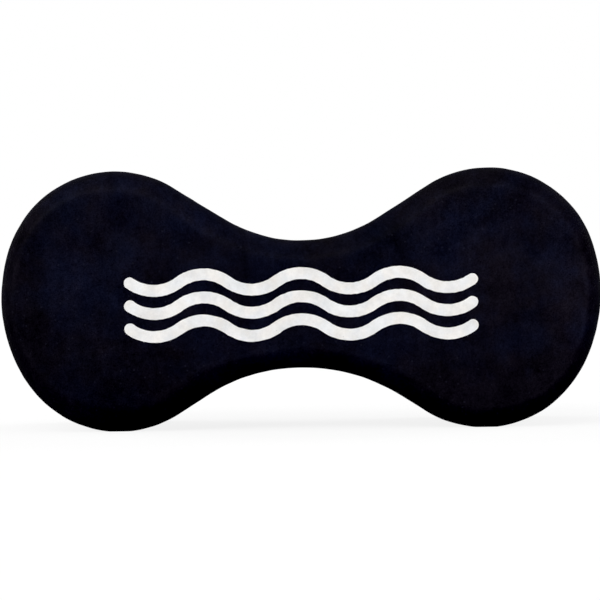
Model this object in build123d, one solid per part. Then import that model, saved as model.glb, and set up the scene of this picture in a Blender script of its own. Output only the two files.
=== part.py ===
from build123d import *
from math import acos, asin, atan2, cos, degrees, pi, sin, sqrt
import os

# Laminated foam pull buoy: a figure-eight float that a swimmer grips between the thighs.
#
# Five slabs of closed-cell EVA foam are glued face to face into one block, and the block is cut to
# a figure-eight outline. The outer edges of both end faces are ground to a rounded bevel. Three
# ripple lines are screen printed on the front face.
#
# Frame: X runs from lobe to lobe, Y from the printed front face (-Y) to the rear face (+Y), and Z
# points up. The origin is on the ground, under the middle of the block, which rests on its two
# lobes. All sizes are in millimetres.

# Block
LENGTH = 240.0  # X, from lobe end to lobe end
DEPTH = 130.0  # Y, from front face to rear face
HEIGHT = 104.0  # Z, from the foot to the crest of a lobe

# Figure-eight outline
AXIS_HEIGHT = 53.7  # centre of both lobe ends above the ground
END_RADIUS = 63.5  # the blunt end of a lobe
SHOULDER_RADIUS = 44.75  # from the lobe's end round to the groove, above and below
TOP_GROOVE_DEPTH = 28.4  # from the crest of the lobes to the bottom of the groove
TOP_GROOVE_RADIUS = 57.0
BOTTOM_GROOVE_DEPTH = 24.7
BOTTOM_GROOVE_RADIUS = 72.5

# Ground bevel round both end faces
BEVEL = 6.8  # its width on the end face, and its depth down the side
BEVEL_RADIUS = 10.5  # it bulges to this radius, so it leaves a soft crease at both its edges
TOOL_OVERRUN = 1.5  # how far the cutting tool passes outside the foam

# Lamination
SLABS = ("front_slab", "front_core_slab", "middle_slab", "rear_core_slab", "rear_slab")
GLUE_FILMS = ("front_glue_film", "front_core_glue_film", "rear_core_glue_film", "rear_glue_film")
GLUE_THICKNESS = 0.2
GLUE_INSET = 0.5  # the glue stops this far inside the cut sides
SLAB_THICKNESS = (DEPTH - len(GLUE_FILMS) * GLUE_THICKNESS) / len(SLABS)

# Printed ripples: lines of equal arcs that turn up and down in turn
INK_THICKNESS = 0.1
RIPPLE_LINES = 3
RIPPLE_PITCH = 9.2  # from one line to the next
RIPPLE_WIDTH = 4.7  # of the printed line
RIPPLE_ARCS = 7  # an odd count keeps the mark the same when mirrored
RIPPLE_CHORD = 19.5  # length of one arc along X
RIPPLE_RADIUS = 16.5  # of the middle of the line

TOP_GROOVE_Z = HEIGHT - TOP_GROOVE_DEPTH
BOTTOM_GROOVE_Z = BOTTOM_GROOVE_DEPTH
WAIST_MIDDLE_Z = (TOP_GROOVE_Z + BOTTOM_GROOVE_Z) / 2
FRONT_Y = -DEPTH / 2


def direction(angle):
    """The unit vector at an angle in radians from +X, in the plane of the outline."""
    return Vector(cos(angle), sin(angle))


def half_outline(crest, waist, groove_radius, inset):
    """The edges above the lobe axis, but for the two lobe ends, and the angle where an end stops.

    crest and waist are the heights of the lobes and of the groove's bottom above the axis. An
    inset makes the convex arcs smaller and the groove larger, and their centres stay.
    """
    end_centre = Vector(LENGTH / 2 - END_RADIUS, 0)
    radius_change = END_RADIUS - SHOULDER_RADIUS
    end_stop = asin((crest - SHOULDER_RADIUS) / radius_change)
    shoulder_centre = end_centre + direction(end_stop) * radius_change
    groove_centre = Vector(0, waist + groove_radius)

    # The straight flank touches the shoulder and the groove from opposite sides.
    between = groove_centre - shoulder_centre
    reach = SHOULDER_RADIUS + groove_radius
    flank_normal = atan2(between.Y, between.X) - acos(reach / between.length)
    flank = Line(
        shoulder_centre + direction(flank_normal) * (SHOULDER_RADIUS - inset),
        groove_centre - direction(flank_normal) * (groove_radius + inset),
    )
    shoulder = CenterArc(
        shoulder_centre,
        SHOULDER_RADIUS - inset,
        degrees(end_stop),
        degrees(flank_normal - end_stop),
    )
    groove_half_angle = flank_normal - pi / 2
    groove = CenterArc(
        groove_centre,
        groove_radius + inset,
        degrees(-pi / 2 - groove_half_angle),
        degrees(2 * groove_half_angle),
    )
    right = [shoulder, flank]
    left = [mirror(edge, about=Plane.YZ) for edge in right]
    return [*right, groove, *left], end_stop


def outline(inset=0.0):
    """The closed figure-eight outline, standing on the XZ plane at y = 0."""
    top, top_stop = half_outline(
        HEIGHT - AXIS_HEIGHT, TOP_GROOVE_Z - AXIS_HEIGHT, TOP_GROOVE_RADIUS, inset
    )
    bottom, bottom_stop = half_outline(
        AXIS_HEIGHT, AXIS_HEIGHT - BOTTOM_GROOVE_Z, BOTTOM_GROOVE_RADIUS, inset
    )
    bottom = [mirror(edge, about=Plane.XZ) for edge in bottom]
    end = CenterArc(
        (LENGTH / 2 - END_RADIUS, 0),
        END_RADIUS - inset,
        -degrees(bottom_stop),
        degrees(top_stop + bottom_stop),
    )
    edges = [end, *top, mirror(end, about=Plane.YZ), *bottom]
    standing = Plane((0, 0, AXIS_HEIGHT), x_dir=(1, 0, 0), z_dir=(0, -1, 0))
    return standing * Wire([edge.edges()[0] for edge in edges])


def plate(front_y, thickness, inset=0.0):
    """The outline as a flat plate whose front face is at front_y."""
    face = Pos(0, front_y + thickness, 0) * Face(outline(inset))
    return extrude(face, amount=thickness)


def bevel_tool():
    """The ring of foam that grinding removes from the front edge."""
    path = Pos(0, FRONT_Y, 0) * outline()
    corner = Plane(origin=path @ 0, x_dir=(0, 1, 0), z_dir=path % 0)
    outward = 1 if corner.y_dir.X > 0 else -1
    on_face = (0, -outward * BEVEL)
    on_side = (BEVEL, 0)
    past_corner = (-TOOL_OVERRUN, outward * TOOL_OVERRUN)
    chord = BEVEL * sqrt(2)
    bulge = BEVEL_RADIUS - sqrt(BEVEL_RADIUS**2 - (chord / 2) ** 2)
    middle = BEVEL / 2 - bulge / sqrt(2)
    section = make_face(
        [
            ThreePointArc(on_face, (middle, -outward * middle), on_side),
            Line(on_side, (on_side[0], past_corner[1])),
            Line((on_side[0], past_corner[1]), past_corner),
            Line(past_corner, (past_corner[0], on_face[1])),
            Line((past_corner[0], on_face[1]), on_face),
        ]
    )
    return sweep(corner * section, path=path)


def ripple(middle_z):
    """One printed ripple line, symmetric about x = 0, with round ends."""
    half_angle = asin(RIPPLE_CHORD / 2 / RIPPLE_RADIUS)
    drop = RIPPLE_RADIUS * cos(half_angle)
    half_width = RIPPLE_WIDTH / 2
    joint_x = [(i - RIPPLE_ARCS / 2) * RIPPLE_CHORD for i in range(RIPPLE_ARCS + 1)]
    line = Sketch()
    for i in range(RIPPLE_ARCS):
        rising = 1 if i % 2 == RIPPLE_ARCS // 2 % 2 else -1
        centre = (joint_x[i] + RIPPLE_CHORD / 2, middle_z - rising * drop)
        middle = rising * 90
        ring = [
            CenterArc(
                centre,
                RIPPLE_RADIUS + side * half_width,
                middle - degrees(half_angle),
                2 * degrees(half_angle),
            )
            for side in (-1, 1)
        ]
        caps = [Line(ring[0] @ end, ring[1] @ end) for end in (0, 1)]
        line += make_face([*ring, *caps])
    for x in (joint_x[0], joint_x[-1]):
        line += Pos(x, middle_z) * Circle(half_width)
    standing = Plane((0, FRONT_Y, 0), x_dir=(1, 0, 0), z_dir=(0, -1, 0))
    return extrude(standing * line, amount=INK_THICKNESS)


def build_parts():
    """Every piece of the buoy by node name."""
    parts = {}
    step = SLAB_THICKNESS + GLUE_THICKNESS
    for i, name in enumerate(SLABS):
        parts[name] = plate(FRONT_Y + i * step, SLAB_THICKNESS)
    for i, name in enumerate(GLUE_FILMS):
        glue_y = FRONT_Y + i * step + SLAB_THICKNESS
        parts[name] = plate(glue_y, GLUE_THICKNESS, GLUE_INSET)

    tool = bevel_tool()
    parts["front_slab"] -= tool
    parts["rear_slab"] -= mirror(tool, about=Plane.XZ)

    lowest_line = WAIST_MIDDLE_Z - RIPPLE_PITCH * (RIPPLE_LINES - 1) / 2
    ripples = [ripple(lowest_line + i * RIPPLE_PITCH) for i in range(RIPPLE_LINES)]
    parts["front_print"] = Compound(children=[line.solid() for line in ripples])
    return parts


os.makedirs("parts", exist_ok=True)
for node, shape in build_parts().items():
    export_step(shape, f"parts/{node}.step")
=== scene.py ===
"""Looks of the laminated foam pull buoy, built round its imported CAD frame.

The frame says where everything is: the cut outline, the slabs, the glue films and the printed
ripples. Each foam slab gets a fine mesh in its place, with ground edges, band-saw marks, soft
swells and a slight step at each glue line. The print is a thin skin that lies on the foam under
it. The glue films are the CAD's own, with a material.

X runs from lobe to lobe, Y from the printed front to the rear, and Z up. Lengths are in metres,
unless a note says otherwise.
"""

import math
from dataclasses import dataclass

import bpy
import numpy as np
from mathutils import Matrix, Vector
from mathutils.geometry import delaunay_2d_cdt
from mathutils.kdtree import KDTree


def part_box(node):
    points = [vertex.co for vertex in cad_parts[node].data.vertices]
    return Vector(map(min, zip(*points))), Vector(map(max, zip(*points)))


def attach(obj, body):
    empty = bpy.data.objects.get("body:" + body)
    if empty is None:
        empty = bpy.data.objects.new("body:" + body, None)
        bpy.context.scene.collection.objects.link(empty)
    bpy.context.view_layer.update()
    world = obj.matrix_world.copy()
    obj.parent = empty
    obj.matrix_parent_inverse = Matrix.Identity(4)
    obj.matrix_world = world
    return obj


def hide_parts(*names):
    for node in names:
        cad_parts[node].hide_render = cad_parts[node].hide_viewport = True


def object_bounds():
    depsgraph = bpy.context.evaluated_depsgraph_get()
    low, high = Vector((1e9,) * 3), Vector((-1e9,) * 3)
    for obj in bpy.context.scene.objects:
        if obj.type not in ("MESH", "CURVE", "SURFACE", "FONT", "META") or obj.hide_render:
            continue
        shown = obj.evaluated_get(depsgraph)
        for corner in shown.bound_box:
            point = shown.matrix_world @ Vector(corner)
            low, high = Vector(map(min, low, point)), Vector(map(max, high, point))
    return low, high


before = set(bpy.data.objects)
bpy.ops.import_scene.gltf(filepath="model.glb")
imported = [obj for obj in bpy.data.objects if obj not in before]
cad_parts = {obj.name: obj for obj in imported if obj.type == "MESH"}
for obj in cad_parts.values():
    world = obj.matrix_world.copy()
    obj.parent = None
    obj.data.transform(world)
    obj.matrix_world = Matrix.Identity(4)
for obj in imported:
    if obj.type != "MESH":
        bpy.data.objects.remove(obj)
cad_low, cad_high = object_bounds()

MM = 0.001
MICRON = 0.001 * MM  # a vertex nearer than this to a plane lies on it

# ---------------------------------------------------------------- sizes

# Fineness of the meshes
OUTLINE_POINTS = 800
CURVE_STEPS = 16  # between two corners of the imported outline
SECTION_POINTS = 60  # along the bevel in section
SIDE_STEP = 1.0 * MM  # between rings on the cut sides
BEVEL_STEP = 0.45 * MM  # between rings on the ground edges
FACE_STEP = 1.0 * MM  # of the lattice on the end faces
HIDDEN_STEP = 8.0 * MM  # of the lattice on the glued faces
INK_STEP = 0.8 * MM  # of the lattice on the print
EDGE_CLEARANCE = 0.6  # between a lattice and the edge round it, as a share of its step
INK_EDGE_POINTS = 1.5  # on the print's edge, for each step of its lattice
ARC_POINTS = 40  # on the middle line of each arc of a ripple
CAP_POINTS = 24  # on the round end of a ripple

# Ground bevel of the end faces
BEVEL = 6.8 * MM  # its depth down the side
BEVEL_RADIUS = 10.5 * MM  # it bulges to this radius, before it's widened or narrowed
END_WIDTH = 0.79  # its width on the end face at the blunt ends, as a share of its depth
CREST_WIDTH = 1.10  # the same along the top and the bottom
FLANK_WIDTH = 0.30  # what the flanks of the grooves add
FLANK_X = 38 * MM  # the middle of a flank
FLANK_SPAN = 16 * MM  # from there to where about a third of the addition is left
FOOT_WIDTH = 0.42  # what the worn left foot adds
WIDTH_DRIFT = 0.035  # the grinder's slow unevenness, as a share of the depth
WIDTH_CHATTER = 0.012  # and its quick unevenness
CREASE_SOFTNESS = 0.8 * MM  # the section is averaged over this far to both sides
CREASE_SAMPLES = 21  # in each average
RUB_WIDTH = 1.5 * MM  # from a crease to where about a third of its rubbing is left

# Edges along the glue lines
SEAM_RADIUS = 0.35 * MM
SEAM_RINGS = 4
SEAM_RUB = 0.6  # how far they are rubbed, where a crease is 1

# Wear of the front face towards the left foot
LOBE_CENTRE = 0.6  # from the lobe's end to its middle, as a share of its height
WEAR_START = 28 * MM  # from the middle of the lobe
WEAR_DEPTH = 3.2 * MM  # at the edge
WEAR_FADE = 20 * MM  # it fades out this far behind the face
WEAR_DIRECTION = math.radians(-100)  # from the middle of the lobe, where -90 is down
WEAR_SPREAD = math.radians(85)  # it fades out this far to both sides

# Print
RIPPLE_LINES = 3
RIPPLE_ARCS = 7
RIPPLE_PITCH = 9.2 * MM
RIPPLE_STROKE = 4.7 * MM
INK_HEIGHT = 0.06 * MM  # above the foam
INK_DEPTH = 0.05 * MM  # below it, so that no light gets under the skin
INK_BLEED = 0.035 * MM  # how far its edge strays, in steps of about a millimetre
INK_DRIFT = 0.03 * MM  # and in longer sweeps

FLOOR_GAP = 0.02 * MM  # keeps the feet from sharing a plane with the floor


# ---------------------------------------------------------------- noise


def waves(points, size, seed):
    """Smooth noise of unit strength at each point, in features of about the given size."""
    random = np.random.default_rng(seed)
    total = np.zeros(len(points))
    count = 28
    for _ in range(count):
        way = random.normal(size=3)
        way *= math.pi / size * random.uniform(0.6, 1.4) / np.linalg.norm(way)
        total += np.cos(points @ way + random.uniform(0, 2 * math.pi))
    return total * math.sqrt(2 / count)


def foam_relief(points, sawn, ground, sheet):
    """How far the foam stands out from its nominal surface, with more marks where it was cut.

    The strength of each kind of mark is in millimetres.
    """
    along_cut = points * (1, 0.04, 1)  # the saw's marks run from front to rear
    step = math.sin(2.4 * sheet + 0.8)  # no two sheets were quite flush on the saw table
    swell = 0.14 * waves(points, 40 * MM, 1) + 0.025 * waves(points, 11 * MM, 2)
    grain = 0.006 * waves(points, 4 * MM, 3)
    saw = 0.018 * waves(along_cut, 3 * MM, 4) + 0.03 * waves(along_cut, 9 * MM, 5)
    grinding = 0.05 * waves(points, 7 * MM, 6)
    return MM * (swell + grain + sawn * (0.06 * step + saw) + ground * grinding)


def foot_wear(points):
    """How far the left foot of the front face is worn back, more towards its edge.

    The wear fades out with depth, so that the edge is pressed back without a fold.
    """
    fade = np.clip(1 - (points[:, 1] - cad_low.y) / WEAR_FADE, 0, 1)
    lobe_x = cad_low.x + (cad_high.z - cad_low.z) * LOBE_CENTRE
    lobe_z = (cad_low.z + cad_high.z) / 2
    x, z = points[:, 0] - lobe_x, points[:, 2] - lobe_z
    reach = np.clip((np.hypot(x, z) - WEAR_START) / (cad_high.z / 2 - WEAR_START), 0, 1)
    turn = np.arctan2(z, x) - WEAR_DIRECTION
    turn = (turn + math.pi) % (2 * math.pi) - math.pi
    share = np.cos(np.clip(turn / WEAR_SPREAD, -1, 1) * math.pi / 2) ** 2
    return WEAR_DEPTH * fade * share * reach**2


# ---------------------------------------------------------------- outlines


def cut_outline(node):
    """The slab's outline as even steps of (x, z), anticlockwise seen from the front."""
    front_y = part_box(node)[0].y
    vertices = [v.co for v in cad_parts[node].data.vertices]
    # The CAD mesh's faces don't share vertices, so equal ones are merged, to the micron.
    rim = {(round(p.x, 6), round(p.z, 6)) for p in vertices if abs(p.y - front_y) < MICRON}
    middle_z = (cad_low.z + cad_high.z) / 2
    corners = sorted(rim, key=lambda p: math.atan2(p[1] - middle_z, p[0]))
    return even_steps(smooth_through(np.array(corners)), OUTLINE_POINTS)


def smooth_through(corners):
    """A closed curve through the corners, as a dense run of points."""
    ahead, behind = np.roll(corners, -1, axis=0), np.roll(corners, 1, axis=0)
    tangent = (ahead - behind) / np.linalg.norm(ahead - behind, axis=1)[:, None]
    chord = np.linalg.norm(ahead - corners, axis=1)[:, None]
    leaving, arriving = tangent * chord, np.roll(tangent, -1, axis=0) * chord
    runs = []
    for t in np.linspace(0, 1, CURVE_STEPS, endpoint=False):
        runs.append(
            (1 + 2 * t) * (1 - t) ** 2 * corners
            + t * (1 - t) ** 2 * leaving
            + t**2 * (3 - 2 * t) * ahead
            + t**2 * (t - 1) * arriving
        )
    return np.stack(runs, axis=1).reshape(-1, 2)


def even_steps(loop, count):
    """The same closed loop, shared out into equal steps."""
    closed = np.vstack([loop, loop[:1]])
    length = np.concatenate([[0], np.cumsum(np.linalg.norm(np.diff(closed, axis=0), axis=1))])
    wanted = np.linspace(0, length[-1], count, endpoint=False)
    return np.column_stack([np.interp(wanted, length, column) for column in closed.T])


def outward(loop):
    """Unit normals that point out of an anticlockwise loop."""
    along = np.roll(loop, -1, axis=0) - np.roll(loop, 1, axis=0)
    normal = np.column_stack([along[:, 1], -along[:, 0]])
    return normal / np.linalg.norm(normal, axis=1)[:, None]


def fill(loop, step):
    """Points and triangles that fill a loop. The loop's own points come first."""
    normals = outward(loop)
    tree = KDTree(len(loop))
    for i, (x, z) in enumerate(loop):
        tree.insert((x, z, 0), i)
    tree.balance()
    low, high = loop.min(axis=0), loop.max(axis=0)
    inner = []
    for row, z in enumerate(np.arange(low[1], high[1], step * math.sqrt(3) / 2)):
        for x in np.arange(low[0] + row % 2 * step / 2, high[0], step):
            _, nearest, gap = tree.find((x, z, 0))
            inside = ((x, z) - loop[nearest]) @ normals[nearest] < 0
            if inside and gap > step * EDGE_CLEARANCE:
                inner.append((x, z))
    points = np.vstack([loop, np.array(inner).reshape(-1, 2)])
    coordinates = [Vector(p) for p in points]
    inside_only = 1  # an output type of the triangulation
    result = delaunay_2d_cdt(coordinates, [], [range(len(loop))], inside_only, 0)
    _, _, triangles, origins, _, _ = result
    source = [numbers[0] for numbers in origins]
    return points, [[source[v] for v in triangle] for triangle in triangles]


# The slabs from front to rear, and the outline that all of them were cut to
slabs = [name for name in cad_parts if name.endswith("_slab")]
slabs.sort(key=lambda name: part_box(name)[0].y)
outline = cut_outline(slabs[1])
outline_normals = outward(outline)


# ---------------------------------------------------------------- foam slabs


@dataclass
class Edge:
    """A slab's edge in section, ring by ring, from its flat face round to its cut side."""

    depth: np.ndarray  # behind the flat face
    inset: np.ndarray  # inside the outline
    ground: np.ndarray  # 1 on the ground bevel, else 0
    sawn: np.ndarray  # 1 on the cut side, else 0
    wear: np.ndarray  # 1 where the foam is rubbed smooth; the material also paints a pale highlight along it
    width: np.ndarray  # scales the inset at each point of the outline


def ground_edge(width):
    """The bevel of an end face, with some of the flat face and of the cut side."""
    # The arc starts one bevel in on the face and ends one bevel down the side.
    half_angle = math.asin(BEVEL / math.sqrt(2) / BEVEL_RADIUS)
    centre = (BEVEL_RADIUS * math.cos(half_angle) + BEVEL / math.sqrt(2)) / math.sqrt(2)
    angles = np.linspace(math.pi / 4 - half_angle, math.pi / 4 + half_angle, SECTION_POINTS)
    depth = centre - BEVEL_RADIUS * np.cos(angles)
    inset = centre - BEVEL_RADIUS * np.sin(angles)
    margin = 2 * CREASE_SOFTNESS
    depth = np.concatenate([[0], depth, [BEVEL + margin]])
    inset = np.concatenate([[BEVEL + margin], inset, [0]])
    length = np.concatenate([[0], np.cumsum(np.hypot(np.diff(depth), np.diff(inset)))])
    creases = length[1], length[-2]

    # Each ring averages the sharp section around it, which rounds the creases.
    rings = np.linspace(0, length[-1], round(length[-1] / BEVEL_STEP))
    reach = np.minimum(CREASE_SOFTNESS, np.minimum(rings, length[-1] - rings))
    window = rings[:, None] + reach[:, None] * np.linspace(-1, 1, CREASE_SAMPLES)
    blur = CREASE_SOFTNESS
    return Edge(
        depth=np.interp(window, length, depth).mean(axis=1),
        inset=np.interp(window, length, inset).mean(axis=1),
        ground=np.interp(
            rings,
            [creases[0] - blur, creases[0] + blur, creases[1] - blur, creases[1] + blur],
            [0, 1, 1, 0],
        ),
        sawn=np.interp(rings, [creases[1] - blur, creases[1] + blur], [0, 1]),
        wear=np.exp(-(np.abs(rings[:, None] - creases).min(axis=1) / RUB_WIDTH) ** 2),
        width=width,
    )


def seam_edge():
    """The small rounding at a glue line."""
    angles = np.linspace(0, math.pi / 2, SEAM_RINGS)
    ones = np.ones(SEAM_RINGS)
    return Edge(
        depth=SEAM_RADIUS * (1 - np.cos(angles)),
        inset=SEAM_RADIUS * (1 - np.sin(angles)),
        ground=0 * ones,
        sawn=ones,
        wear=SEAM_RUB * ones,
        width=np.ones(OUTLINE_POINTS),
    )


def bevel_width(seed):
    """How wide the grinder left the bevel round the outline, as a share of its depth."""
    points = np.column_stack([outline[:, 0], np.zeros(OUTLINE_POINTS), outline[:, 1]])
    up = outline_normals[:, 1]
    worn_foot = np.clip(-up, 0, 1) ** 2 * np.clip(-outline[:, 0] / cad_high.x, 0, 1)
    flank = np.exp(-(((np.abs(outline[:, 0]) - FLANK_X) / FLANK_SPAN) ** 2))
    return (
        END_WIDTH
        + (CREST_WIDTH - END_WIDTH) * up**4
        + FLANK_WIDTH * flank
        + FOOT_WIDTH * worn_foot
        + WIDTH_DRIFT * waves(points, 25 * MM, seed)
        + WIDTH_CHATTER * waves(points, 8 * MM, seed + 1)
    )


def slab_rings(name, front, rear):
    """The outline at every depth of a slab, inset at both edges, with the depths and the masks."""
    low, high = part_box(name)
    front_y, rear_y = low.y + front.depth, high.y - rear.depth[::-1]
    steps = round((rear_y[0] - front_y[-1]) / SIDE_STEP)
    side_y = np.linspace(front_y[-1], rear_y[0], steps + 1)[1:-1]
    side = np.ones(len(side_y))
    y = np.concatenate([front_y, side_y, rear_y])
    inset = np.vstack(
        [
            front.inset[:, None] * front.width,
            np.zeros((len(side_y), OUTLINE_POINTS)),
            rear.inset[::-1, None] * rear.width,
        ]
    )
    ground = np.concatenate([front.ground, 0 * side, rear.ground[::-1]])
    sawn = np.concatenate([front.sawn, side, rear.sawn[::-1]])
    wear = np.concatenate([front.wear, 0 * side, rear.wear[::-1]])
    rings = outline - outline_normals * inset[:, :, None]
    return rings, y, np.column_stack([ground, sawn, wear])


def between_rings(near, far):
    """The quads that join two rings, given the index of each ring's first point."""
    first = np.arange(OUTLINE_POINTS)
    second = np.roll(first, -1)
    return np.column_stack([near + first, far + first, far + second, near + second]).tolist()


def build_slab(name, sheet, material):
    """The mesh of one slab, closed, with masks that say how each part of it was made."""
    is_front = sheet == 0
    is_rear = sheet == len(slabs) - 1
    front = ground_edge(bevel_width(seed=20)) if is_front else seam_edge()
    rear = ground_edge(bevel_width(seed=30)) if is_rear else seam_edge()
    rings, y, masks = slab_rings(name, front, rear)
    last = len(y) - 1
    bare = np.ones(len(y))  # 0 where the slab is glued
    bare[[0, last]] = is_front, is_rear

    ring_y = np.repeat(y[:, None], OUTLINE_POINTS, axis=1)
    points = np.stack([rings[..., 0], ring_y, rings[..., 1]], axis=2).reshape(-1, 3)
    masks = np.repeat(np.column_stack([masks, bare]), OUTLINE_POINTS, axis=0)
    faces = []
    for ring in range(last):
        faces += between_rings(ring * OUTLINE_POINTS, (ring + 1) * OUTLINE_POINTS)
    for ring, is_end in ((0, is_front), (last, is_rear)):
        flat, triangles = fill(rings[ring], FACE_STEP if is_end else HIDDEN_STEP)
        inner = flat[OUTLINE_POINTS:]
        edge_index = ring * OUTLINE_POINTS + np.arange(OUTLINE_POINTS)
        index = np.concatenate([edge_index, len(points) + np.arange(len(inner))])
        lattice = np.column_stack([inner[:, 0], np.full(len(inner), y[ring]), inner[:, 1]])
        points = np.vstack([points, lattice])
        masks = np.vstack([masks, np.tile([0, 0, 0, float(is_end)], (len(inner), 1))])
        for triangle in triangles:
            corners = index[triangle].tolist()
            faces.append(corners if ring == 0 else corners[::-1])

    mesh = bpy.data.meshes.new(name + "_foam")
    mesh.from_pydata(points.tolist(), [], faces)
    ground, sawn, wear, bare = masks.T
    for mask, values in (("ground", ground), ("sawn", sawn), ("wear", wear)):
        set_mask(mesh, mask, values)
    set_mask(mesh, "sheet", np.full(len(points), float(sheet)))
    relief = foam_relief(points, sawn, ground, sheet) * bare
    moved = swollen(mesh, points, relief, sawn)
    if is_front:
        moved[:, 1] += foot_wear(points)
    moved[:, 2] = np.maximum(moved[:, 2], cad_low.z)  # flat where it rests on the floor
    mesh.vertices.foreach_set("co", moved.ravel())
    finish_piece(mesh, name, material)


def swollen(mesh, points, relief, sawn):
    """The mesh's points, moved out by the relief. The cut side never swells towards the next slab."""
    normals = np.zeros(len(points) * 3)
    mesh.vertex_normals.foreach_get("vector", normals)
    normals = normals.reshape(-1, 3)
    normals[:, 1] *= 1 - sawn
    return points + normals * relief[:, None]


def set_mask(mesh, name, values):
    """Gives each point of the mesh a value that its material can read."""
    mesh.attributes.new(name, "FLOAT", "POINT").data.foreach_set("value", values)


def finish_piece(mesh, node, material):
    """Makes the mesh a smooth piece that stands for a CAD node."""
    mesh.shade_smooth()
    mesh.update()
    mesh.materials.append(material)
    piece = bpy.data.objects.new(mesh.name, mesh)
    bpy.context.scene.collection.objects.link(piece)
    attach(piece, "root")
    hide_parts(node)


# ---------------------------------------------------------------- print


def ripple_outline(middle_z, seed):
    """The edge of one printed ripple, anticlockwise, with round ends and a slightly rough edge."""
    low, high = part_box("front_print")
    chord = (high.x - low.x - RIPPLE_STROKE) / RIPPLE_ARCS
    rise = (high.z - low.z - RIPPLE_PITCH * (RIPPLE_LINES - 1) - RIPPLE_STROKE) / 2
    radius = (chord**2 / 4 + rise**2) / (2 * rise)
    half_angle = math.asin(chord / 2 / radius)
    sweep = np.linspace(-half_angle, half_angle, ARC_POINTS)
    middle, up = [], []
    for i in range(RIPPLE_ARCS):
        bend = 1 if i % 2 == RIPPLE_ARCS // 2 % 2 else -1  # the middle arc is a crest
        way = np.column_stack([np.sin(sweep), bend * np.cos(sweep)])
        centre_x = (i + 0.5 - RIPPLE_ARCS / 2) * chord
        middle.append((centre_x, middle_z - bend * (radius - rise)) + way * radius)
        up.append(way * bend)
    middle, up = np.vstack(middle), np.vstack(up)
    half = RIPPLE_STROKE / 2
    cap = np.linspace(0, math.pi, CAP_POINTS)[1:-1, None]
    right_cap = middle[-1] - half * (up[-1] * np.cos(cap) - sideways(up[-1]) * np.sin(cap))
    left_cap = middle[0] + half * (up[0] * np.cos(cap) - sideways(up[0]) * np.sin(cap))
    edge = np.vstack([middle - half * up, right_cap, (middle + half * up)[::-1], left_cap])
    length = np.linalg.norm(np.roll(edge, -1, axis=0) - edge, axis=1).sum()
    edge = even_steps(edge, round(length / INK_STEP * INK_EDGE_POINTS))
    standing = np.column_stack([edge[:, 0], np.zeros(len(edge)), edge[:, 1]])
    bleed = INK_BLEED * waves(standing, 1.2 * MM, seed)
    drift = INK_DRIFT * waves(standing, 6 * MM, seed + 1)
    return edge + outward(edge) * (bleed + drift)[:, None]


def sideways(up):
    """The direction to the right of up, seen from the front."""
    return np.array([up[1], -up[0]])


def build_print(material):
    """The three printed ripples, as closed skins that follow the foam."""
    low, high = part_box("front_print")
    points, faces = [], []
    base = 0
    for line in range(RIPPLE_LINES):
        middle_z = (low.z + high.z) / 2 + (line - (RIPPLE_LINES - 1) / 2) * RIPPLE_PITCH
        edge = ripple_outline(middle_z, seed=40 + 2 * line)
        flat, triangles = fill(edge, INK_STEP)
        on_face = np.column_stack([flat[:, 0], np.full(len(flat), high.y), flat[:, 1]])
        none = np.zeros(len(flat))
        foam_y = high.y - foam_relief(on_face, none, none, 0) + foot_wear(on_face)
        for y in (foam_y - INK_HEIGHT, foam_y + INK_DEPTH):
            points.append(np.column_stack([flat[:, 0], y, flat[:, 1]]))
        under = base + len(flat)
        for a, b, c in triangles:
            faces.append((base + a, base + b, base + c))
            faces.append((under + c, under + b, under + a))
        for i in range(len(edge)):
            j = (i + 1) % len(edge)
            faces.append((base + i, under + i, under + j, base + j))
        base = under + len(flat)
    mesh = bpy.data.meshes.new("front_print_ink")
    mesh.from_pydata(np.vstack(points).tolist(), [], faces)
    finish_piece(mesh, "front_print", material)
    mesh.set_sharp_from_angle(angle=math.radians(30))


# ---------------------------------------------------------------- materials


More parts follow.
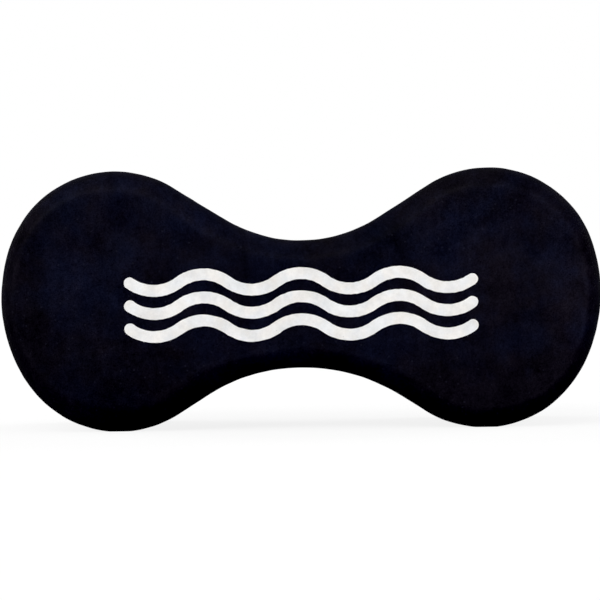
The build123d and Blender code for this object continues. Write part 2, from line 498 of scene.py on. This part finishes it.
class Look:
    """A material, with short ways to add nodes to it. Lengths are in millimetres."""

    def __init__(self, name):
        self.material = bpy.data.materials.new(name)
        self.material.use_nodes = True
        self.tree = self.material.node_tree
        self.shader = self.tree.nodes["Principled BSDF"]

    def node(self, kind, inputs, output=0, **settings):
        """Adds a node, fills or joins its inputs by name or number, and gives one output."""
        node = self.tree.nodes.new(kind)
        for key, value in settings.items():
            setattr(node, key, value)
        for key, value in inputs.items():
            self.join(value, node.inputs[key])
        return node.outputs[output]

    def join(self, value, socket):
        """Links an input to a socket, or sets it to a number or colour."""
        if isinstance(value, bpy.types.NodeSocket):
            self.tree.links.new(value, socket)
        else:
            socket.default_value = value

    def finish(self, **inputs):
        """Fills the shader's inputs, with underscores for spaces, and gives the material."""
        for key, value in inputs.items():
            self.join(value, self.shader.inputs[key.replace("_", " ")])
        return self.material

    def math(self, operation, *values):
        return self.node("ShaderNodeMath", dict(enumerate(values)), operation=operation)

    def mask(self, name):
        return self.node("ShaderNodeAttribute", {}, output="Fac", attribute_name=name)

    def place(self, stretch=(1, 1, 1), shift=0.0):
        """Where a point is, in millimetres, stretched and shifted so that patterns differ."""
        place = self.node("ShaderNodeTexCoord", {}, output="Object")
        place = self.vector("MULTIPLY", place, [1 / MM / s for s in stretch])
        offset = self.node("ShaderNodeCombineXYZ", {"X": shift, "Y": 0.0, "Z": shift})
        return self.vector("ADD", place, offset)

    def along(self, axis):
        """Where a point is along X, Y or Z, in millimetres."""
        place = self.node("ShaderNodeTexCoord", {}, output="Object")
        value = self.node("ShaderNodeSeparateXYZ", {0: place}, output=axis)
        return self.math("MULTIPLY", value, 1 / MM)

    def vector(self, operation, a, b):
        return self.node("ShaderNodeVectorMath", {0: a, 1: b}, operation=operation)

    def noise(self, place, size, detail=2.0, roughness=0.5):
        """Noise from 0 to 1 whose largest features are about the given size."""
        inputs = {"Vector": place, "Scale": 1 / size, "Detail": detail, "Roughness": roughness}
        return self.node("ShaderNodeTexNoise", inputs)

    def cells(self, place, size, output="Distance", **settings):
        inputs = {"Vector": place, "Scale": 1 / size}
        return self.node("ShaderNodeTexVoronoi", inputs, output=output, **settings)

    def ramp(self, value, start, end, low=0.0, high=1.0):
        """Turns start..end into low..high, and stops there."""
        inputs = {
            "Value": value,
            "From Min": start,
            "From Max": end,
            "To Min": low,
            "To Max": high,
        }
        return self.node("ShaderNodeMapRange", inputs)

    def spread(self, noise, low, high):
        """Spreads noise over low..high. Most of it lies between 0.3 and 0.7."""
        return self.ramp(noise, 0.3, 0.7, low, high)

    def blend(self, factor, a, b, how="MIX"):
        inputs = {"Factor": factor, 6: a, 7: b}
        return self.node("ShaderNodeMix", inputs, output=2, data_type="RGBA", blend_type=how)

    def sum(self, *values):
        total = values[0]
        for value in values[1:]:
            total = self.math("ADD", total, value)
        return total

    def product(self, *values):
        total = values[0]
        for value in values[1:]:
            total = self.math("MULTIPLY", total, value)
        return total

    def bump(self, height):
        """A normal from a height in millimetres."""
        return self.node("ShaderNodeBump", {"Height": height, "Distance": MM, "Strength": 1.0})

    def sparse(self, place, size, share, radius):
        """Dots of a radius, faint to strong, in a share of the cells of a size."""
        strength = self.ramp(self.cells(place, size, output="Color"), share, 0.0)
        dot = self.ramp(self.cells(place, size), radius / size, 0.5 * radius / size)
        return self.product(strength, dot)


def grey(value):
    return (value, value, value, 1.0)


FOAM_BLUE = (0.0036, 0.0041, 0.0102, 1.0)
FOAM_PLUM = (0.0045, 0.0038, 0.0063, 1.0)
BUBBLE_DARK = (0.001, 0.001, 0.002, 1.0)
LINT_PALE = (0.019, 0.019, 0.032, 1.0)
GLUE_DARK = (0.006, 0.005, 0.006, 1.0)
GLUE_BROWN = (0.014, 0.010, 0.008, 1.0)
INK_DULL = grey(0.755)
INK_BRIGHT = grey(0.895)
INK_WARM = (1.0, 0.975, 0.945, 1.0)  # these two tint the ink
INK_COOL = (0.975, 0.985, 1.0, 1.0)
INK_GAP = (0.02, 0.02, 0.03, 1.0)  # foam seen through the ink

CELL_SIZE = 0.6  # in millimetres, as are the other lengths in the materials
BUBBLE_SPACING = 2.6
SHEET_SHIFT = 173.0  # from one sheet's patterns to the next


def foam_look():
    """Dyed EVA foam: fine cut cells, cloudy dye, and marks where it was ground, sawn or rubbed, with
    painted light and shade on the bevels and creases and a painted shade towards the foot.

    It gets lighter and darker at every scale, down to the single cells.
    """
    look = Look("eva_foam")
    sheet = look.product(look.mask("sheet"), SHEET_SHIFT)
    ground, sawn, wear = look.mask("ground"), look.mask("sawn"), look.mask("wear")
    place = look.place(shift=sheet)
    across, up = look.along(0), look.along(2)
    mottle = look.noise(look.place(shift=91.0), 18, detail=9.0, roughness=0.93)
    mottle = look.spread(mottle, 0.16, 1.70)
    cells = look.cells(place, CELL_SIZE, feature="SMOOTH_F1")
    saw = look.noise(look.place(stretch=(1, 30, 1), shift=sheet), 1.4, detail=3.0, roughness=0.6)

    shade = look.product(
        mottle,
        *tone_and_painted_shade(look, across, up),
        look.ramp(cells, 0.1, 0.55, 0.70, 1.22),  # each cell is darkest in its middle
        # painted light and shade on the ground bevel
        bevel_painted_light(look, ground, across, up),
        scuffs(look, look.math("MAXIMUM", ground, wear)),
        look.blend(sawn, grey(1.0), look.spread(saw, 1.45, 2.45)),  # sawing opens the cells
        # pale creases: real rubbing and a painted highlight
        crease_wear_and_highlight(look, wear, up),
    )
    colour = dye(look, place, mottle, ground, across, up)
    colour = look.blend(1.0, colour, shade, "MULTIPLY")
    bubbles = look.sparse(place, BUBBLE_SPACING, 0.60, 0.40)
    colour = look.blend(look.product(bubbles, 0.6), colour, BUBBLE_DARK)
    lint = look.sparse(look.place(shift=37.0), BUBBLE_SPACING, 0.60, 0.50)
    colour = look.blend(look.product(lint, 0.35), colour, LINT_PALE)

    height = look.sum(
        look.product(cells, 0.03),
        look.product(look.noise(place, 1.1, detail=4.0, roughness=0.6), 0.05),
        look.product(saw, sawn, 0.10),
        look.product(bubbles, -0.12),
    )
    roughness = look.spread(look.noise(place, 14, detail=4.0, roughness=0.6), 0.66, 0.80)
    return look.finish(
        Base_Color=colour,
        Roughness=look.math("SUBTRACT", roughness, look.product(wear, 0.08)),
        Normal=look.bump(height),
        Specular_IOR_Level=0.04,
    )


def tone_and_painted_shade(look, across, up):
    """How much lighter or darker each region of the block is, as factors of its shade, with a painted
    shade towards the foot.
    """
    broad = look.noise(look.place(shift=47.0), 60, detail=1.0)
    upright = look.place(stretch=(1, 1, 6), shift=61.0)
    streaks = look.noise(upright, 2.2, detail=3.0, roughness=0.7)
    return [
        look.spread(broad, 0.86, 1.14),
        look.ramp(up, 10, 50, 0.82, 1.02),  # painted shade: darker towards the foot, where less light falls from above
        look.ramp(across, 35, 112, 0.96, 1.31),  # lighter towards the right end
        look.ramp(look.sum(across, up), 115, 180, 1.0, 1.09),  # the more so at its top
        look.ramp(across, -95, -118, 1.0, 0.88),  # darker at the left end
        look.spread(streaks, 0.88, 1.12),
    ]


def dye(look, place, mottle, ground, across, up):
    """The dye, which clouds over between blue and plum."""
    clouds = look.noise(place, 22, detail=3.0, roughness=0.65)
    darkness = look.math("SUBTRACT", 1.0, mottle)
    plum = look.sum(
        look.ramp(clouds, 0.34, 0.66, -0.5, 0.5),
        look.ramp(across, 20, 100, 0.0, 0.30),  # more plum towards the right end
        look.ramp(across, -96, -108, 0.0, 0.45),  # at the left end
        look.ramp(up, 38, 10, 0.0, 0.55),  # towards the foot
        look.product(darkness, 0.3),
        look.product(ground, 0.15),
        0.37,
    )
    return look.blend(plum, FOAM_BLUE, FOAM_PLUM)


def bevel_painted_light(look, ground, across, up):
    """Painted light and shade on the ground bevel: lighter at its upper left, darker low on the left
    and towards the right, as a near light from above left would fall.
    """
    upper_left = look.product(look.ramp(across, 0, -60), look.ramp(up, 20, 100, -0.10, 0.16))
    painted_light_and_shade = look.sum(upper_left, look.ramp(across, -60, 40, 0.0, -0.20))
    return look.sum(look.product(ground, painted_light_and_shade), 1.0)


def scuffs(look, exposed):
    """The exposed foam has pale scuffs in patches."""
    marks = look.noise(look.place(shift=7.0), 3.0, detail=5.0, roughness=0.8)
    patches = look.noise(look.place(shift=83.0), 22, detail=3.0)
    marks = look.ramp(marks, 0.54, 0.68, 0.0, 0.40)
    return look.sum(look.product(marks, look.ramp(patches, 0.42, 0.62), exposed), 1.0)


def crease_wear_and_highlight(look, wear, up):
    """The creases are paler: partly rubbed pale, here more and there less, and partly a painted
    highlight where light from above catches them, so hardly at all at the foot.
    """
    rub_and_highlight = look.noise(look.place(shift=17.0), 9, detail=4.0, roughness=0.7)
    rub_and_highlight = look.ramp(rub_and_highlight, 0.40, 0.62, 0.02, 0.34)
    return look.sum(look.product(rub_and_highlight, look.ramp(up, 15, 50, 0.1, 1.0), wear), 1.0)


def glue_look():
    """Dried contact glue: brownish, with hardly any gloss and small lumps."""
    look = Look("dried_glue")
    place = look.place()
    lumps = look.noise(place, 1.5, detail=3.0, roughness=0.6)
    return look.finish(
        Base_Color=look.blend(look.noise(place, 6), GLUE_DARK, GLUE_BROWN),
        Roughness=look.spread(lumps, 0.5, 0.7),
        Normal=look.bump(look.product(lumps, 0.08)),
        Specular_IOR_Level=0.1,
    )


def ink_look():
    """White screen ink: chalky and blotchy, with pinholes over the foam's open cells."""
    look = Look("white_ink")
    place = look.place()
    tone = look.ramp(look.noise(place, 7, detail=5.0, roughness=0.8), 0.36, 0.64)
    tint = look.ramp(look.noise(look.place(shift=29.0), 8), 0.38, 0.62)
    colour = look.blend(
        1.0,
        look.blend(tone, INK_DULL, INK_BRIGHT),
        look.blend(tint, INK_WARM, INK_COOL),
        "MULTIPLY",
    )
    thin = look.noise(look.place(shift=53.0), 1.1, detail=3.0, roughness=0.6)
    thin = look.product(look.ramp(thin, 0.70, 0.78), 0.20)
    holes = look.product(look.sparse(place, BUBBLE_SPACING, 0.30, 0.25), 0.45)
    gaps = look.math("MAXIMUM", thin, holes)
    height = look.sum(
        look.product(look.cells(place, CELL_SIZE, feature="SMOOTH_F1"), 0.015),
        look.product(look.noise(place, 1.1, detail=4.0, roughness=0.6), 0.03),
        look.product(gaps, -0.05),
    )
    return look.finish(
        Base_Color=look.blend(gaps, colour, INK_GAP),
        Roughness=look.spread(look.noise(place, 5, detail=3.0), 0.5, 0.65),
        Normal=look.bump(height),
        Specular_IOR_Level=0.35,
    )


# ---------------------------------------------------------------- stage


FLOOR_REACH = 9.0  # from the middle to each side
FLOOR_PALE = grey(0.9)
FLOOR_GLOW = 0.86  # how far the floor is white whatever falls on it, so that shadows stay faint
FLOOR_BOUNCE = grey(0.30)  # its colour for everything but the camera
TENT_START = -0.2  # the tent gets brighter from here up, where -1 is down and 1 is up
TENT_DIM = 0.37
TENT_BRIGHT = 0.64  # straight overhead
BLACK_LEVEL = 0.004  # light below this is black in the picture
LENS = 200.0  # in millimetres, as is the sensor
SENSOR = 36.0
FILL = 0.9988  # the object's share of the picture's width
ROLL = math.radians(0.75)  # the object stands turned this much in the picture
AIM_X = -0.45 * MM  # the camera looks at this point
AIM_Z = 51.8 * MM


def floor_look():
    """A pale floor that stays nearly white in the picture and gives back little light."""
    look = Look("pale_floor")
    links, nodes = look.tree.links, look.tree.nodes
    diffuse = look.node("ShaderNodeBsdfDiffuse", {"Color": FLOOR_PALE})
    glow = look.node("ShaderNodeEmission", {"Color": grey(1.0), "Strength": 1.0})
    dim = look.node("ShaderNodeMixShader", {"Fac": FLOOR_GLOW, 1: diffuse, 2: glow})
    dark = look.node("ShaderNodeBsdfDiffuse", {"Color": FLOOR_BOUNCE})
    seen = look.node("ShaderNodeLightPath", {}, output="Is Camera Ray")
    surface = look.node("ShaderNodeMixShader", {"Fac": seen, 1: dark, 2: dim})
    links.new(surface, nodes["Material Output"].inputs["Surface"])
    return look.material


def make_floor():
    corners = [(-1, -1), (1, -1), (1, 1), (-1, 1)]
    z = cad_low.z - FLOOR_GAP
    points = [(FLOOR_REACH * x, FLOOR_REACH * y, z) for x, y in corners]
    mesh = bpy.data.meshes.new("floor")
    mesh.from_pydata(points, [], [(0, 1, 2, 3)])
    mesh.materials.append(floor_look())
    floor = bpy.data.objects.new("floor", mesh)
    bpy.context.scene.collection.objects.link(floor)


def make_world():
    """White to the camera, and to everything else a dim tent that is brighter above."""
    world = bpy.data.worlds.new("studio")
    bpy.context.scene.world = world
    world.use_nodes = True
    nodes, links = world.node_tree.nodes, world.node_tree.links
    tent = nodes["Background"]
    direction = nodes.new("ShaderNodeTexCoord")
    split = nodes.new("ShaderNodeSeparateXYZ")
    rise = nodes.new("ShaderNodeMapRange")
    seen = nodes.new("ShaderNodeLightPath")
    white = nodes.new("ShaderNodeBackground")
    mix = nodes.new("ShaderNodeMixShader")
    links.new(direction.outputs["Generated"], split.inputs[0])
    links.new(split.outputs["Z"], rise.inputs["Value"])
    rise.inputs["From Min"].default_value = TENT_START
    rise.inputs["To Min"].default_value = TENT_DIM
    rise.inputs["To Max"].default_value = TENT_BRIGHT
    links.new(rise.outputs[0], tent.inputs["Strength"])
    tent.inputs["Color"].default_value = grey(1.0)
    white.inputs["Color"].default_value = grey(1.0)
    links.new(seen.outputs["Is Camera Ray"], mix.inputs["Fac"])
    links.new(tent.outputs[0], mix.inputs[1])
    links.new(white.outputs[0], mix.inputs[2])
    links.new(mix.outputs[0], nodes["World Output"].inputs["Surface"])


def softbox(name, azimuth, elevation, strength, spread, glossy=True):
    """A soft light from a direction. Azimuth 0 is the front and 90 the right, in degrees."""
    data = bpy.data.lights.new(name, "SUN")
    data.energy = strength
    data.angle = math.radians(spread)
    light = bpy.data.objects.new(name, data)
    turn = Matrix.Rotation(math.radians(azimuth), 4, "Z")
    tilt = Matrix.Rotation(math.radians(90 - elevation), 4, "X")
    light.matrix_world = turn @ tilt
    light.visible_glossy = glossy
    bpy.context.scene.collection.objects.link(light)


def make_camera():
    """A long lens square to the printed face."""
    data = bpy.data.cameras.new("camera")
    data.lens = LENS
    data.sensor_width = SENSOR
    camera = bpy.data.objects.new("camera", data)
    distance = (cad_high.x - cad_low.x) / FILL * LENS / SENSOR
    camera.location = (AIM_X, cad_low.y + BEVEL - distance, AIM_Z)
    upright = Matrix.Rotation(math.pi / 2, 3, "X")
    camera.rotation_euler = (Matrix.Rotation(ROLL, 3, "Y") @ upright).to_euler()
    bpy.context.scene.collection.objects.link(camera)
    bpy.context.scene.camera = camera


def set_tone():
    """Deep blacks, as in a studio picture cut out on white."""
    settings = bpy.context.scene.view_settings
    settings.view_transform = "Standard"
    settings.use_curve_mapping = True
    settings.curve_mapping.black_level = (BLACK_LEVEL, BLACK_LEVEL, BLACK_LEVEL)
    settings.curve_mapping.update()


# ---------------------------------------------------------------- the object

foam, glue, ink = foam_look(), glue_look(), ink_look()
for sheet, name in enumerate(slabs):
    build_slab(name, sheet, foam)
build_print(ink)
for name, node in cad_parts.items():
    if name.endswith("_glue_film"):
        for slot in node.material_slots:
            slot.material = glue

make_floor()
make_world()
softbox("key", azimuth=-19, elevation=27, strength=2.26, spread=40)
softbox("left_fill", azimuth=-80, elevation=8, strength=0.35, spread=50)
softbox("rear_right", azimuth=135, elevation=15, strength=1.8, spread=30, glossy=False)
softbox("rear_left", azimuth=-135, elevation=15, strength=1.8, spread=30, glossy=False)
make_camera()
set_tone()
